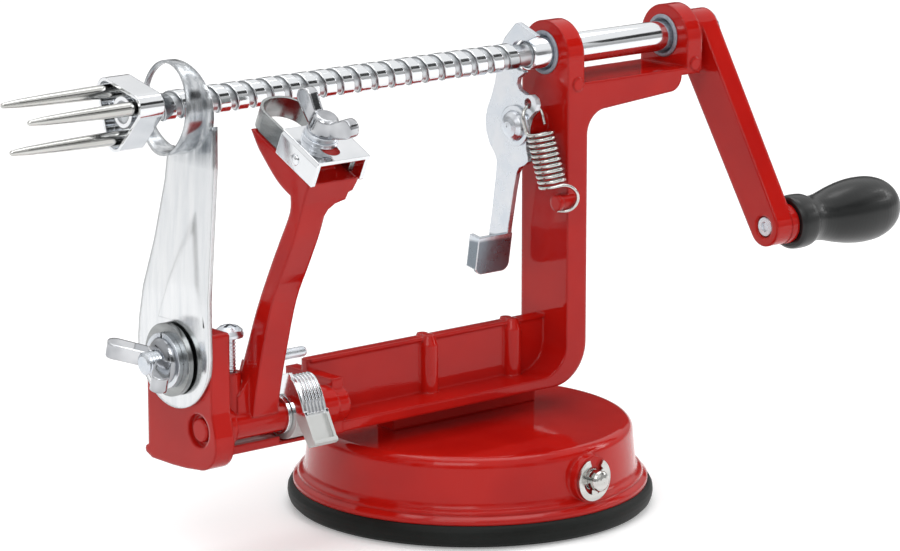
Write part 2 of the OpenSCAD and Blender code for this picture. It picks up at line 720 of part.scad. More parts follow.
// flatted end of the arm barrel, with room round it
module lever_key(room) {
  intersection() {
    bar_x(-77, lever_x0 + 1.4 + room, 4.5 + room, pivot_y, pivot_z);
    translate([-78, pivot_y - 6, pivot_z - 3.8 - room]) cube([6, 12, 7.6 + 2 * room]);
  }
}

// ribbed thumb lever on the pivot pin
module arm_lever() {
  thumb = curve([[-11.4, 50.2], [-13.8, 49.9], [-16, 47.6], [-17.7, 44.6], [-18.9, 41.4]], 4);
  back = [[-15.6, 39.4], [-14, 42.5], [-12, 45.2], [-10, 47]];
  color(chrome) difference() {
    union() {
      bar_x(lever_x0, lever_x1, 7, pivot_y, pivot_z);
      along_x(lever_x0, lever_x1) polygon(concat(thumb, [[-21, 37.6], [-23.2, 33.6], [-21.2, 32.4]], back));
      along_x(lever_x0, lever_x0 + 1.1) polygon([[-9.2, 50.8], [-12.6, 51.6], [-13.6, 50.4], [-12, 46],
          [-8, 45]]);
      for (i = [0 : 5]) along_x(lever_x0 + 0.9 + i * 1.17, lever_x0 + 1.55 + i * 1.17)
        polygon(concat([for (p = thumb) p + 0.55 * unit(p - [pivot_y - 1, pivot_z + 1])], back));
      along_x(lever_x0, lever_x0 + 0.9) polygon([[-18.4, 41.7], [-19.3, 42], [-23.9, 33.8], [-23.1, 33.4]]);
      along_x(lever_x1 - 0.9, lever_x1) polygon([[-18.4, 41.7], [-19.3, 42], [-23.9, 33.8], [-23.1, 33.4]]);
      along_x(lever_x0, lever_x1) polygon([[-22.8, 33.7], [-23.5, 35], [-24, 34.1], [-23.3, 33.2]]);
    }
    bar_x(lever_x0 - 1, lever_x1 + 1, 3.26, pivot_y, pivot_z);
    bar_x(lever_x0 + 2, lever_x1 + 1, 5.9, pivot_y, pivot_z);
    lever_key(0.02);
    bar_x(lever_x0 + 0.4, lever_x1, 0.6, pivot_y - 0.8, pivot_z - 4.7);
  }
}

// torsion spring in the cup of the lever
module arm_spring() {
  r = 0.45;
  big = 4.7;
  x0 = lever_x0 + 3.4;
  x1 = lever_x1 - 0.5;
  turns = 2.5;
  n = 20;
  coil = [for (i = [0 : n]) let (t = i / n, a = -90 + 360 * turns * t)
      [x0 + (x1 - x0) * t, pivot_y + big * cos(a), pivot_z + big * sin(a)]];
  s = coil[0];
  f = coil[n];
  path = concat([[lever_x0 + 0.9, s[1] - 0.8, s[2]], [lever_x0 + 2.3, s[1] - 0.8, s[2]],
      [x0 - 0.5, s[1] - 0.6, s[2]]], coil,
    [[x1 + 0.5, f[1] - 0.5, f[2]], [x1 + 1, f[1] - 0.6, f[2]], [x1 + 2.4, f[1] - 0.6, f[2]]]);
  echo(arm_spring_gap = wire_gap(path, r, 5));
  color(steel) wire(path, r, [0, 0, 1]);
}

// stud in the side of the arm
module arm_stud() {
  color(zinc) turned_x([[0, arm_x + arm_w - 3], [1.45, arm_x + arm_w - 3], [1.45, -71.4], [1.2, -70.8],
      [0, -70.6]], stud_y, stud_z);
}

// cross head screw on the arm barrel
module arm_screw() {
  color(zinc) translate([screw_x, screw_y, 0]) difference() {
    union() {
      translate([0, 0, 48.5]) cylinder(h = 16, r = 1.55);
      for (z = [55 : 1 : 63]) translate([0, 0, z]) rotate_extrude() polygon([[1, -0.45], [1.5, -0.42],
          [1.75, -0.1], [1.75, 0.1], [1.5, 0.42], [1, 0.45]]);
      translate([0, 0, 63.7]) rotate_extrude() polygon([[0, 0], [3.8, 0], [4, 0.9], [3.6, 2], [2.5, 2.9],
          [1.2, 3.3], [0, 3.4]]);
    }
    for (a = [20, 110]) translate([0, 0, 65.4]) rotate([0, 0, a]) translate([-2.3, -0.5, 0])
        cube([4.6, 1, 3]);
  }
}

// sheet holder with a slot for its screw
module blade_holder() {
  color(chrome) on_holder() difference() {
    union() {
      translate([hold_x0, -17.2, 5.8]) cube([hold_x1 - hold_x0, 16.6, sheet]);
      translate([hold_x0, -17.2, -0.5]) cube([sheet, 16.6, 7]);
      translate([hold_x1 - sheet, -17.2, -0.5]) cube([sheet, 16.6, 7]);
    }
    translate([hold_x, hold_u, 5]) linear_extrude(4) link([0, -4.9], [0, 3], 2.7, 2.7);
    for (x = [hold_x0 - 1, hold_x1 - 3]) bar_x(x, x + 4, 1.02, -8.4, 2.4);
    translate([hold_x0 - 0.01, -17.3, 6.3]) rotate([0, 45, 0]) cube([1, 40, 1], center = true);
  }
}

// drawing of a loop of strip in X and slope
module loop(x0, x1, y0, y1, r) {
  translate([x0, y0]) square([x1 - x0, y1 - y0 - r]);
  translate([x0 + r, y1 - r]) circle(r);
  translate([x1 - r, y1 - r]) circle(r);
  translate([x0 + r, y1 - r - 1]) square([x1 - x0 - 2 * r, r + 1]);
}

// strip blade bent to a loop
module peel_blade() {
  x0 = hold_x0 + sheet + 0.02;
  x1 = hold_x1 - sheet - 0.02;
  color(chrome) on_holder() difference() {
    translate([0, 0, -0.5]) linear_extrude(6.1) difference() {
      loop(x0, x1, -13, blade_end, 6.8);
      loop(x0 + 0.8, x1 - 0.8, -14, blade_end - 0.8, 6);
    }
    for (x = [x0 - 1, x1 - 2]) bar_x(x, x + 3, 1.02, -8.4, 2.4);
    translate([-100, blade_end - 0.7, -2.4]) rotate([-40, 0, 0]) cube([40, 3, 2]);
  }
}

// rivet through holder wall and blade, s is the side
module blade_rivet(s) {
  x = s < 0 ? hold_x0 : hold_x1;
  color(chrome) on_holder() translate([x, -8.4, 2.4]) rotate([0, s * 90, 0]) rotate_extrude()
      polygon([[0, 0.75], [0.8, 0.65], [1.5, 0.3], [1.6, 0],
    [1, 0], [1, -2.05], [1.3, -2.05], [1.3, -2.35], [0, -2.35]]);
}

module blade_rivet_left() {
  blade_rivet(-1);
}

module blade_rivet_right() {
  blade_rivet(1);
}

module holder_washer() {
  color(zinc) on_holder() translate([hold_x, hold_u, 7.05]) difference() {
    cylinder(h = 1.2, r = 4.9);
    translate([0, 0, -1]) cylinder(h = 4, r = 2.6);
  }
}

// split spring washer
module holder_spring_washer() {
  color(steel) on_holder() translate([hold_x, hold_u, 8.27]) difference() {
    cylinder(h = 1.4, r = 4.4);
    translate([0, 0, -1]) cylinder(h = 4, r = 2.6);
    translate([0, -0.35, -1]) rotate([20, 0, 0]) cube([6, 0.7, 5]);
  }
}

// drawing of a pair of wings, radius against height
module wings(r0, h0, r1, h1, w0, w1) {
  link([r0, h0], [r1, h1], w0, w1);
  link([-r0, h0], [-r1, h1], w0, w1);
}

// wing screw that clamps the holder
module holder_screw() {
  color(chrome) on_holder() translate([hold_x, hold_u, 0]) {
    translate([0, 0, -1]) cylinder(h = 14, r = 2.5);
    translate([0, 0, 9.7]) rotate_extrude() polygon([[0, 0], [4, 0], [4, 1], [3.4, 4.2], [2.7, 4.8],
        [0, 4.8]]);
    rotate([90, 0, 97]) translate([0, 0, -1.5]) linear_extrude(3) wings(3.4, 11.8, 8, 15.4, 2, 2.6);
  }
}

// corer ring and slicing arm of one sheet
module slicer_blade() {
  lean = 4.4;
  bend_z = 76;
  color(chrome) {
    difference() {
      union() {
        along_x(bracket_x - slicer_t - 0.02, bracket_x - 0.02) {
          translate([0.3, 60.4]) circle(16);
          polygon([[-15.7, 60], [16.3, 60], [15.8, 66], [13.6, bend_z], [-15.6, bend_z]]);
        }
        translate([bracket_x - slicer_t - 0.02, 0, bend_z]) rotate([0, lean, 0])
            translate([0, 0, -bend_z]) along_x(0, slicer_t) {
          polygon([[-15.6, bend_z - 0.5], [13.7, bend_z - 0.5], [9.6, 89], [6, 106], [5.4, 115],
              [-14.4, 123], [-15.4, 112]]);
        }
        translate([bracket_x - slicer_t - 0.02, 0, bend_z]) rotate([0, lean, 0])
            translate([0, 0, -bend_z]) slicer_tent();
      }
      bar_x(-120, -80, ring_r - 0.4, 0, axis_z - 0.5);
      bar_x(-120, -95, 3.1, 0, bolt_z);
    }
    difference() {
      union() {
        bar_x(-112, -94, ring_r, 0, axis_z - 0.5);
        difference() {
          cone_x(-102, -97.4, ring_r, ring_r + 1.7, 0, axis_z - 0.5);
          translate([-104, 0, axis_z - 0.5]) rotate([-28, 0, 0]) translate([0, -5, -30]) cube([10, 40, 60]);
        }
      }
      bar_x(-113, -93, ring_r - 0.8, 0, axis_z - 0.5);
      translate([ring_front, 0, axis_z]) rotate([0, 7, 0]) rotate([0, 0, -7.3]) translate([-20, -30, -40])
          cube([20, 60, 80]);
      translate([ring_back, 0, axis_z]) rotate([0, -3.4, 0]) rotate([0, 0, 6.3]) translate([0, -30, -40])
          cube([20, 60, 80]);
    }
  }
}

// pressed tent that stiffens the slicing arm
module slicer_tent() {
  t = 0.3;
  u = -0.6;
  polyhedron([[t, -8.6, 103], [t, 6.6, 68.4], [t, -13.8, 68.8], [u, -8.3, 94], [u, 1.6, 79],
      [u, -10.4, 79.4]],
    [[0, 1, 2], [3, 5, 4], [0, 3, 4], [0, 4, 1], [1, 4, 5], [1, 5, 2], [2, 5, 3], [2, 3, 0]]);
}

// hex bolt through the bracket
module slicer_bolt() {
  color(zinc) {
    thread = [for (x = [-113.9 : 1 : -110.9]) each [[3, x], [2.55, x + 0.5]]];
    turned_x(concat([[0, -114.4], [2.2, -114.4]], thread,
      [[3, -109.9], [3, bracket_x1 + 0.5], [0, bracket_x1 + 0.5]]), 0, bolt_z);
    translate([bracket_x1, 0, bolt_z]) rotate([0, 90, 0]) cylinder(h = 4, r = 5.5, $fn = 6);
  }
}

module slicer_washer() {
  color(steel) difference() {
    bar_x(-106.45, -104.92, 10, 0, bolt_z);
    bar_x(-110, -100, 3.1, 0, bolt_z);
  }
}

// split lock washer
module slicer_lock_washer() {
  color(zinc) difference() {
    bar_x(-108, -106.47, 7.6, 0, bolt_z);
    bar_x(-110, -100, 3.1, 0, bolt_z);
    translate([-109, -0.4, bolt_z + 2]) rotate([0, 0, 18]) cube([4, 0.8, 7]);
  }
}

// wing nut on the slicer bolt
module slicer_wing_nut() {
  color(chrome) translate([0, 0, bolt_z]) rotate([15, 0, 0]) difference() {
    union() {
      turned_x([[0, -110], [4.1, -110], [4.7, -109.7], [5.6, -109.1], [6.4, -108.03], [0, -108.03]]);
      translate([0, 0, -2.1]) linear_extrude(4.2) rotate(90) wings(3.4, 110.4, 10.4, 116.2, 2.1, 2.4);
    }
    bar_x(-120, -100, 3.04);
  }
}

frame();
base_housing();
suction_pad();
pad_stud();
cam_shaft();
suction_lever();
e_clip();
base_screw_left();
base_screw_right();
left_bush();
right_bush();
spindle_rod();
fork_hub();
prong_near();
prong_far();
prong_low();
crank_arm();
crank_washer();
crank_screw();
grip_bolt();
grip();
latch_plate();
latch_rivet();
latch_washer();
latch_spring();
peel_arm();
arm_pin();
arm_washer();
arm_lever();
arm_spring();
arm_stud();
arm_screw();
blade_holder();
peel_blade();
blade_rivet_left();
blade_rivet_right();
holder_washer();
holder_spring_washer();
holder_screw();
slicer_blade();
slicer_bolt();
slicer_washer();
slicer_lock_washer();
slicer_wing_nut();
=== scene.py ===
# %% [markdown]
# # A hand cranked apple peeler
# The exact solids of the peeler are loaded as a fixed frame, and this lesson dresses them.
# It sets the camera, writes one finish for each real material, and adds the pieces whose
# roundness or wire work is finer than the solids carry.

# %% Load the frame
import json
import math

import bmesh
import bpy
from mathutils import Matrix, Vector


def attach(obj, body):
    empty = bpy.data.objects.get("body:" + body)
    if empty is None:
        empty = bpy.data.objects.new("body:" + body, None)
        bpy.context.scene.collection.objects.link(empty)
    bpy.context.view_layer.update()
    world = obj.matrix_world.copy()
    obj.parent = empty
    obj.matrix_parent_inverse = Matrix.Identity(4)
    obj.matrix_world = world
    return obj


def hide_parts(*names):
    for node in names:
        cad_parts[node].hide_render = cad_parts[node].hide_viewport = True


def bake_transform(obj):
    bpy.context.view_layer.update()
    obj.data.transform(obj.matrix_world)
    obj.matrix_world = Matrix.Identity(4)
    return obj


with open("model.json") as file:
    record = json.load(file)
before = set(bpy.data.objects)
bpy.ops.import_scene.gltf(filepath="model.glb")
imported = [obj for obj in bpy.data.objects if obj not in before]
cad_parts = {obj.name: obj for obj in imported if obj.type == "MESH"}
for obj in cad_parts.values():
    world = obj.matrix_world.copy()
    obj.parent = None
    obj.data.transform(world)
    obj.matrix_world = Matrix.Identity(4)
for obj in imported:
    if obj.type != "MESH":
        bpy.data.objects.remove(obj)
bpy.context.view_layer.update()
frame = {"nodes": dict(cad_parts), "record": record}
mm = 0.001

# %% [markdown]
# ## Camera
# A long lens stands well back on the fork side, a little above the spindle. Its place was
# worked out from the round base, the straight spindle and the upright frame, which together
# fix the angle, the height and the length of the lens.

# %% Place the camera
camera_data = bpy.data.cameras.new("camera")
camera_data.sensor_fit = "HORIZONTAL"
camera_data.sensor_width = 36
camera_data.lens = 160.23
camera_data.clip_start = 0.05
camera_data.clip_end = 20
camera = bpy.data.objects.new("camera", camera_data)
azimuth, elevation = -39.91, 12.785
camera.location = (-0.71683, -0.84801, 0.31764)
camera.rotation_euler = (math.radians(90 - elevation), 0, math.radians(azimuth))
bpy.context.scene.collection.objects.link(camera)
bpy.context.scene.camera = camera
print("lens:", camera_data.lens, "mm")

# %% [markdown]
# ## Node tools
# Finishes are shader trees and the wound pieces are Geometry Nodes trees, so both are written with
# the same two tools. A Field wraps a number that changes over a surface, and arithmetic on it adds
# Math nodes. A Graph adds any other node by one method. A Finish is a Graph for a material, and a
# Shape is one for geometry. The trees could be wired by hand in the node editor, but a script keeps
# every number in view. Shader patterns sit on object coordinates, in metres, so they stay on the metal
# from any side.

# %% A number that varies


class Field:
    """A value that varies over a surface or a path; arithmetic on it adds Math nodes."""

    def __init__(self, graph, socket):
        self.graph = graph
        self.socket = socket

    def math(self, operation, first, second=0.0):
        node = self.graph.add("ShaderNodeMath", {"operation": operation}, {0: first, 1: second})
        return Field(self.graph, node.outputs[0])

    def __add__(self, other):
        return self.math("ADD", self, other)

    def __radd__(self, other):
        return self.math("ADD", other, self)

    def __sub__(self, other):
        return self.math("SUBTRACT", self, other)

    def __rsub__(self, other):
        return self.math("SUBTRACT", other, self)

    def __mul__(self, other):
        return self.math("MULTIPLY", self, other)

    def __rmul__(self, other):
        return self.math("MULTIPLY", other, self)

    def sine(self):
        return self.math("SINE", self)

    def cosine(self):
        return self.math("COSINE", self)

    def root(self):
        return self.math("SQRT", self)

    def at_most(self, other):
        return self.math("MINIMUM", self, other)


# %% A tree of nodes


class Graph:
    """A node tree, with one method that adds a node and feeds its inputs."""

    def __init__(self, tree):
        self.tree = tree

    def add(self, kind, settings=None, inputs=None):
        node = self.tree.nodes.new(kind)
        for name, value in (settings or {}).items():
            setattr(node, name, value)
        for key, value in (inputs or {}).items():
            self.feed(node.inputs[key], value)
        return node

    def feed(self, socket, value):
        if isinstance(value, Field):
            self.tree.links.new(value.socket, socket)
        elif isinstance(value, bpy.types.NodeSocket):
            self.tree.links.new(value, socket)
        else:
            socket.default_value = value

    def between(self, value, low, high):
        """Zero up to the low value, one from the high value, and a straight slope between them."""
        limits = {"Value": value, "From Min": low, "From Max": high}
        return Field(self, self.add("ShaderNodeMapRange", {"clamp": True}, limits).outputs["Result"])


# %% A material


class Finish(Graph):
    """A node material with helpers for its textures."""

    def __init__(self, name, **constants):
        self.material = bpy.data.materials.new(name)
        self.material.use_nodes = True
        super().__init__(self.material.node_tree)
        self.surface = self.tree.nodes["Principled BSDF"]
        for socket, value in constants.items():
            self.surface.inputs[socket.replace("_", " ")].default_value = value
        self.place = self.add("ShaderNodeTexCoord").outputs["Object"]

    def along(self, axis):
        """The place along X, Y or Z, as 0, 1 or 2, in metres."""
        parts = self.add("ShaderNodeSeparateXYZ", None, {0: self.place})
        return Field(self, parts.outputs[axis])

    def noise(self, scale, detail=3.0, roughness=0.5, stretch=(1, 1, 1)):
        """A noise over the surface; a small stretch along an axis draws it out into streaks."""
        place = self.place
        if stretch != (1, 1, 1):
            place = self.add("ShaderNodeMapping", None, {"Vector": self.place, "Scale": stretch}).outputs[0]
        sizes = {"Vector": place, "Scale": scale, "Detail": detail, "Roughness": roughness}
        return Field(self, self.add("ShaderNodeTexNoise", None, sizes).outputs["Fac"])

    def mix(self, share, first, second):
        colours = {0: share, 6: self.paint(first), 7: self.paint(second)}
        return self.add("ShaderNodeMix", {"data_type": "RGBA"}, colours).outputs[2]

    def paint(self, colour):
        return (*colour, 1) if isinstance(colour, tuple) else colour

    def colour(self, value):
        self.feed(self.surface.inputs["Base Color"], value)

    def roughness(self, value):
        self.feed(self.surface.inputs["Roughness"], value)

    def painted_edge_mask(self, radius, least=0.02):
        """One along the sharp edges, where a rounded normal leaves the face's own by more than the least; it
        places painted edge shade and painted highlights.
        """
        rounded = self.add("ShaderNodeBevel", {"samples": 8}, {"Radius": radius}).outputs[0]
        own = self.add("ShaderNodeNewGeometry").outputs["True Normal"]
        likeness = self.add("ShaderNodeVectorMath", {"operation": "DOT_PRODUCT"}, {0: rounded, 1: own})
        return self.between(1.0 - Field(self, likeness.outputs["Value"]), least, least + 0.1)

    def relief(self, height, strength, depth, edge=0.0):
        """A fine bump; where an edge radius is given, it lies over normals that round the sharp edges."""
        inputs = {"Height": height, "Strength": strength, "Distance": depth}
        if edge:
            inputs["Normal"] = self.add("ShaderNodeBevel", {"samples": 8}, {"Radius": edge}).outputs[0]
        self.feed(self.surface.inputs["Normal"], self.add("ShaderNodeBump", None, inputs).outputs[0])


# %% A built shape


class Shape(Graph):
    """A Geometry Nodes tree with named sizes, turned into a plain mesh when it is made."""

    def __init__(self, name, **sizes):
        super().__init__(bpy.data.node_groups.new(name, "GeometryNodeTree"))
        sockets = self.tree.interface
        sockets.new_socket("Geometry", in_out="INPUT", socket_type="NodeSocketGeometry")
        sockets.new_socket("Geometry", in_out="OUTPUT", socket_type="NodeSocketGeometry")
        for label, value in sizes.items():
            kind = "NodeSocketInt" if isinstance(value, int) else "NodeSocketFloat"
            sockets.new_socket(label, in_out="INPUT", socket_type=kind)
        self.sizes = sizes
        self.entry = self.add("NodeGroupInput")

    def size(self, label):
        return Field(self, self.entry.outputs[label])

    def close(self, geometry, material):
        """Ends the tree with plain, smooth and dressed geometry."""
        plain = self.add("GeometryNodeRealizeInstances", None, {0: geometry})
        smooth = self.add("GeometryNodeSetShadeSmooth", None, {0: plain.outputs[0]})
        dressed = self.add("GeometryNodeSetMaterial", None, {
            "Geometry": smooth.outputs[0], "Material": material})
        self.add("NodeGroupOutput", None, {0: dressed.outputs[0]})

    def make(self, name, start):
        """Runs the tree on a start object, and gives the mesh that comes out."""
        bpy.context.scene.collection.objects.link(start)
        modifier = start.modifiers.new("shape", "NODES")
        modifier.node_group = self.tree
        for socket in self.tree.interface.items_tree:
            if socket.name in self.sizes:
                modifier[socket.identifier] = self.sizes[socket.name]
        depsgraph = bpy.context.evaluated_depsgraph_get()
        mesh = bpy.data.meshes.new_from_object(start.evaluated_get(depsgraph))
        bpy.data.objects.remove(start)
        mesh.name = name
        return mesh


print("node tools ready")

# %% [markdown]
# ## Red enamel
# The castings are sprayed with a glossy red enamel. Fresh enamel is never quite flat: it keeps
# a fine orange peel, and its gloss drifts a little. The sharp edges of the solids are rounded
# by a Bevel node, because paint flows back from an edge and leaves it soft.

# %% Mix the enamel
enamel = Finish("red enamel", IOR=1.30, Coat_Weight=0.08, Coat_Roughness=0.02)
drift = enamel.noise(45, 2)
peel = enamel.noise(1100, 2)
enamel.colour(enamel.mix(enamel.between(drift, 0.35, 0.65), (0.43, 0.007, 0.005), (0.50, 0.010, 0.006)))
enamel.roughness(0.03 + 0.05 * enamel.noise(220, 3))
enamel.relief(peel, 0.025, 0.0004, edge=0.0011)
print(enamel.material.name)

# %% [markdown]
# ## Polished chrome
# The fork's hub, the blade's folded holder with its rivets, and the washer beside the thumb lever are
# plated and buffed. The plating is nearly a mirror. An even grey metal would look like plastic close
# up, so one noise lays a faint haze that breaks the reflections, and a stretched one draws the very fine
# lines of the buffing wheel.

# %% Plate the chrome
chrome = Finish("polished chrome", Metallic=1.0)
haze = chrome.noise(90, 4)
lines = chrome.noise(60, 2, 0.6, (4, 90, 4))
chrome.colour(chrome.mix(chrome.between(haze, 0.3, 0.7), (0.74, 0.76, 0.78), (0.83, 0.84, 0.86)))
chrome.roughness(0.06 + 0.08 * chrome.between(haze, 0.35, 0.75))
chrome.relief(lines, 0.03, 0.0002, edge=0.00035)
print(chrome.material.name)

# %% [markdown]
# ## Feed thread plate
# The thread's groove and its two walls carry painted shade. The finish measures how far a point is from
# the spindle's axis, so the walls are painted dark and the groove grey, as painted shade in the recess,
# while the crest stays bright. The buffing wheel never reaches the groove, so the groove is also rougher,
# and a grease noise varies its gloss.

# %% Plate the thread
thread_plate = Finish("thread plate", Metallic=1.0)
thread_axis = 127 * mm
groove_radius, crest_radius = 3.3 * mm, 3.95 * mm
out_y, out_z = thread_plate.along(1), thread_plate.along(2) - thread_axis
crest = thread_plate.between((out_y * out_y + out_z * out_z).root(), groove_radius, crest_radius)
grease = thread_plate.noise(160, 4)
# Painted shade: the walls are darkened and the groove made greyer than the crest, by distance from the axis.
painted_wall_shade = (4.0 * crest * (1.0 - crest)).at_most(1.0)
plating = thread_plate.mix(crest, (0.56, 0.58, 0.60), (0.80, 0.82, 0.84))
thread_plate.colour(thread_plate.mix(0.85 * painted_wall_shade, plating, (0.10, 0.11, 0.12)))
thread_plate.roughness(0.30 - 0.22 * crest + 0.06 * grease)
thread_plate.relief(grease, 0.03, 0.0002)
print(thread_plate.material.name)

# %% [markdown]
# ## Blades, prongs and wings
# The two blades are bare stainless steel. The slicer's sheet is ground along its length and pressed
# with a soft ridge, so its normals are rounded the most, and its ring is rolled after the grinding, which
# leaves it darker above a given height. The peeling strip and the slicer's dished washer are tempered, and
# stay dark. The two wings that fingers turn are plated castings with well rounded edges. The prongs, the
# base's shaft with its clip and lever, and the springs are drawn or rolled steel with a satin skin. The
# streaks could be a picture, but a noise that is stretched along the metal needs none and has no seam.

# %% Grind the slicer and temper the strip
ground = Finish("ground steel", Metallic=1.0)
streak = ground.noise(40, 4, 0.6, (9, 9, 0.8))
sheet_top, ring_low = 111 * mm, 116 * mm
rolled = ground.between(ground.along(2), sheet_top, ring_low)
sheet_grey = ground.mix(ground.between(streak, 0.3, 0.7), (0.66, 0.68, 0.70), (0.80, 0.81, 0.82))
# Painted shade: the sheet's sharp edges are darkened into a dark outline.
sheet_grey = ground.mix(0.7 * ground.painted_edge_mask(0.5 * mm, 0.1), sheet_grey, (0.20, 0.21, 0.22))
ring_grey = ground.mix(ground.between(streak, 0.35, 0.6), (0.26, 0.28, 0.30), (0.60, 0.62, 0.64))
ground.colour(ground.mix(rolled, sheet_grey, ring_grey))
ground.roughness(0.12 + 0.12 * streak)
ground.relief(streak, 0.04, 0.0005, edge=0.0022)
tempered = Finish("tempered steel", Metallic=1.0)
shade = tempered.noise(70, 4, 0.6, (1, 1, 5))
tempered.colour(tempered.mix(tempered.between(shade, 0.3, 0.7), (0.22, 0.23, 0.23), (0.36, 0.37, 0.37)))
tempered.roughness(0.16 + 0.14 * shade)
tempered.relief(shade, 0.05, 0.0003, edge=0.0003)
print(ground.material.name, tempered.material.name)

# %% Plate the wings and draw the prongs
cast_plate = Finish("plated casting", Metallic=1.0)
skin = cast_plate.noise(100, 2)
skin_share = cast_plate.between(skin, 0.36, 0.64)
cast_plate.colour(cast_plate.mix(skin_share, (0.30, 0.31, 0.33), (0.62, 0.63, 0.65)))
cast_plate.roughness(0.05 + 0.07 * skin)
cast_plate.relief(skin, 0.04, 0.0003, edge=0.0009)
satin = Finish("satin steel", Metallic=1.0)
drawn = satin.noise(60, 3, 0.5, (0.6, 9, 9))
satin.colour(satin.mix(satin.between(drawn, 0.3, 0.7), (0.48, 0.48, 0.46), (0.66, 0.66, 0.64)))
satin.roughness(0.12 + 0.12 * drawn)
satin.relief(drawn, 0.03, 0.0002, edge=0.0003)
print(cast_plate.material.name, satin.material.name)

# %% [markdown]
# ## Zinc plate
# The screws, bolts, washers and the latch's rivet are plain steel with a bluish zinc plate, duller than
# the chrome and cloudy in patches. One noise drives the colour and the roughness together, because a
# patch that differs in tone differs in gloss as well.

# %% Plate the zinc
zinc = Finish("zinc plate", Metallic=1.0)
cloud = zinc.noise(130, 5, 0.6)
zinc.colour(zinc.mix(zinc.between(cloud, 0.35, 0.65), (0.58, 0.62, 0.67), (0.72, 0.74, 0.77)))
zinc.roughness(0.18 + 0.20 * zinc.between(cloud, 0.3, 0.7))
zinc.relief(zinc.noise(900, 3), 0.05, 0.0002, edge=0.0003)
print(zinc.material.name)

# %% [markdown]
# ## Latch, with painted shade and highlights on its tab
# The latch's bent tab is painted dark grey below a given height, as painted shade on its inner face, and its
# edges are painted bright, as painted highlights. The shade is a mix of the plate and the dark grey by
# height.
# An edge shows where a Bevel node turns the normal away from the face's own. Both follow the shape by
# themselves, so no mask has to be drawn.

# %% Paint shade and highlights on the tab
latch_plate = Finish("worn zinc plate", Metallic=1.0)
cloud = latch_plate.noise(130, 5, 0.6)
tab_top, plate_low = 73.4 * mm, 74.2 * mm
# Painted shade: below the tab's top the plate gives way to the tab's dark grey.
clear_of_tab_shade = latch_plate.between(latch_plate.along(2) + 1 * mm * cloud, tab_top, plate_low)
plate_grey = latch_plate.mix(latch_plate.between(cloud, 0.35, 0.65), (0.58, 0.62, 0.67), (0.72, 0.74, 0.77))
# Painted shade and highlights: the tab is painted dark grey, and its edges are painted bright.
tab_shade_and_glint = latch_plate.mix(latch_plate.painted_edge_mask(0.7 * mm), (0.20, 0.23, 0.26), (0.80, 0.82, 0.85))
latch_plate.colour(latch_plate.mix(clear_of_tab_shade, tab_shade_and_glint, plate_grey))
latch_plate.roughness(0.18 + 0.20 * latch_plate.between(cloud, 0.3, 0.7))
latch_plate.relief(latch_plate.noise(900, 3), 0.05, 0.0002, edge=0.0003)
print(latch_plate.material.name)

# %% [markdown]
# ## Thumb lever
# The lever's ribs are buffed bright, but its flat thumb pad below them is left frosted, as it comes from
# the die. Two materials on one piece would leave a hard border. The pad is the part of the lever under a
# given height, so one material does, with a roughness that follows the height.

# %% Frost the pad
lever_plate = Finish("lever plate", Metallic=1.0)
frost = lever_plate.noise(700, 3)
pad_top, ribs_low = 40.4 * mm, 41.4 * mm
buffed = lever_plate.between(lever_plate.along(2), pad_top, ribs_low)
lever_plate.colour(lever_plate.mix(buffed, (0.60, 0.61, 0.60), (0.80, 0.81, 0.83)))
lever_plate.roughness(0.62 - 0.54 * buffed + 0.06 * frost)
lever_plate.relief(frost, 0.03, 0.0002, edge=0.0003)
print(lever_plate.material.name)

# %% [markdown]
# ## Bushes, rubber and grip
# The two bushes are sintered grey metal with a matt face. The pad is moulded rubber, dark with a
# green cast and a dusty bloom. The grip is black moulded plastic with a soft gloss. Noise sets the tone
# of each, and fine noise its grain. The grain is a bump, since it is too small to model.

# %% Bush, rubber and grip finishes
sinter = Finish("sintered bush", Metallic=0.4)
grit = sinter.noise(1600, 2)
sinter.colour(sinter.mix(sinter.between(grit, 0.35, 0.65), (0.24, 0.27, 0.32), (0.36, 0.39, 0.44)))
sinter.roughness(0.40 + 0.2 * grit)
sinter.relief(grit, 0.08, 0.0002, edge=0.0003)

rubber = Finish("moulded rubber", IOR=1.28)
bloom = rubber.noise(70, 5, 0.65)
rubber.colour(rubber.mix(rubber.between(bloom, 0.4, 0.75), (0.004, 0.005, 0.004), (0.010, 0.012, 0.011)))
rubber.roughness(0.42 + 0.25 * bloom)
rubber.relief(rubber.noise(2200, 2), 0.12, 0.0003, edge=0.0006)

grip_black = Finish("black grip plastic", IOR=1.42, Coat_Weight=0.1, Coat_Roughness=0.12)
handled = grip_black.noise(55, 4)
handled_share = grip_black.between(handled, 0.35, 0.7)
grip_black.colour(grip_black.mix(handled_share, (0.004, 0.005, 0.005), (0.009, 0.010, 0.010)))
grip_black.roughness(0.24 + 0.14 * grip_black.between(handled, 0.3, 0.7))
grip_black.relief(grip_black.noise(2600, 2), 0.06, 0.0002)
print(sinter.material.name, rubber.material.name, grip_black.material.name)

# %% [markdown]
# ## Dressing the solids
# The record gives each solid a slot, such as red paint or chrome, and most solids take the finish of their
# slot. A few wear a finish of their own, because one slot covers both mirror plate and plainer steel. The
# solids' meshes stay as they are: only their material slots are filled.

# %% Dress the solids
finish_of_slot = {
    "red_paint": enamel,
    "chrome": chrome,
    "zinc_steel": zinc,
    "bush_grey": sinter,
    "rubber": rubber,
    "black_plastic": grip_black,
}
finish_of_node = {
    "slicer_blade": ground,
    "peel_blade": tempered,
    "slicer_washer": tempered,
    "prong_near": satin,
    "prong_far": satin,
    "prong_low": satin,
    "cam_shaft": satin,
    "e_clip": satin,
    "suction_lever": satin,
    "slicer_wing_nut": cast_plate,
    "holder_screw": cast_plate,
    "arm_lever": lever_plate,
    "latch_plate": latch_plate,
    "latch_rivet": zinc,
}
for part in frame["record"]["subparts"]:
    finish = finish_of_node.get(part["node"], finish_of_slot[part["material_slot"]])
    for place in frame["nodes"][part["node"]].material_slots:
        place.material = finish.material

